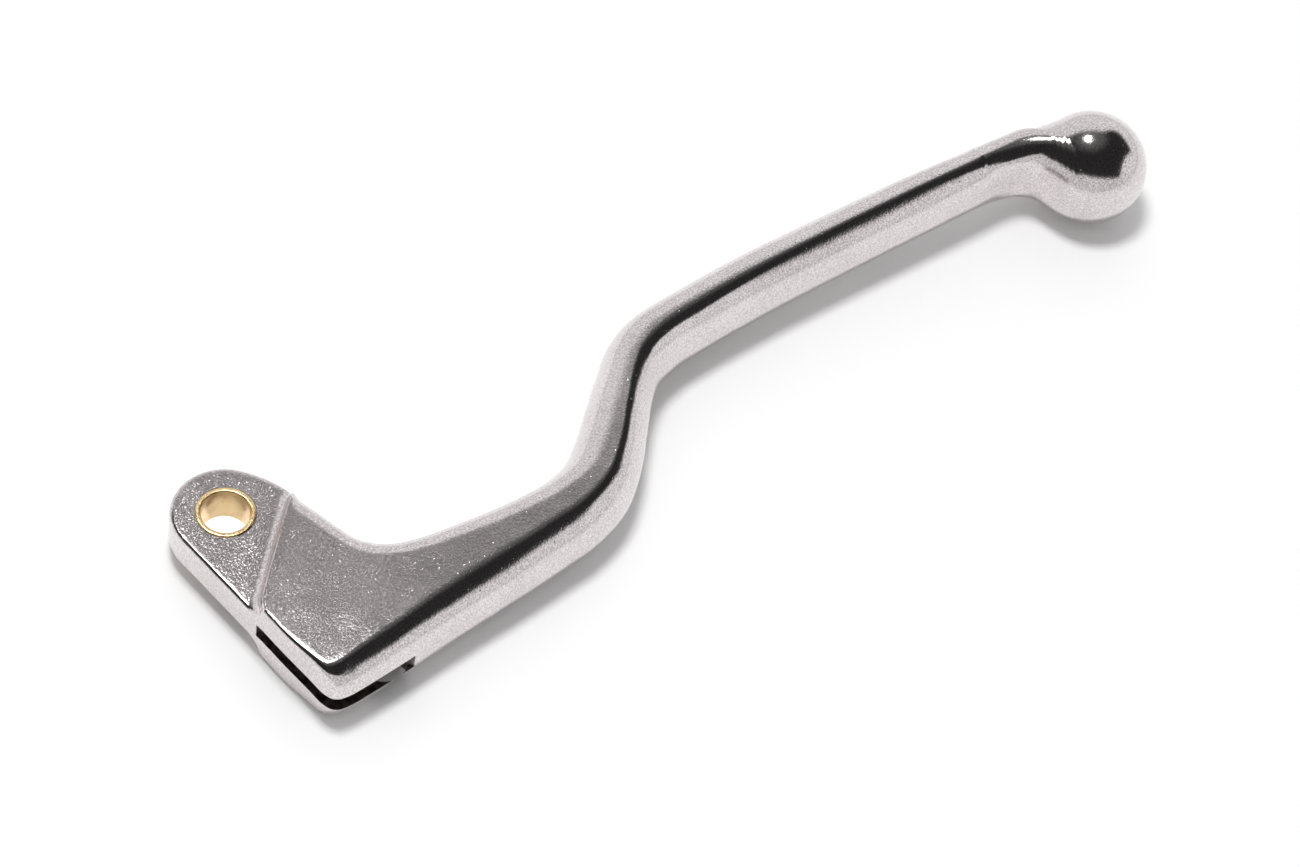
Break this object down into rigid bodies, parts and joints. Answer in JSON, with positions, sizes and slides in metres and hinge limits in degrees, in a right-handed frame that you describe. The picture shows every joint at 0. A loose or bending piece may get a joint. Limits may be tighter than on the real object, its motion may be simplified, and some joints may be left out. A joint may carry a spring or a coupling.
{
  "type": "motorcycle clutch lever",
  "caption": "Forged aluminium clutch lever for an off-road motorcycle, with a cable slot, a ball end and a brass pivot bush.",
  "frame": {"origin": "on the pivot axis, at the lever's mid-plane", "axes": "+Z along the pivot axis, +X from the pivot towards the ball, +Y towards the rider and handlebar grip"},
  "size_m": [0.1901, 0.0499, 0.0198],
  "materials": {
    "lever_aluminium": "polished forging, with fine grain left in the skin",
    "bush_brass": "machined, bright"
  },
  "bodies": {
    "root": {"lever": "lever_aluminium", "pivot_bush": "bush_brass"}
  },
  "joints": []
}
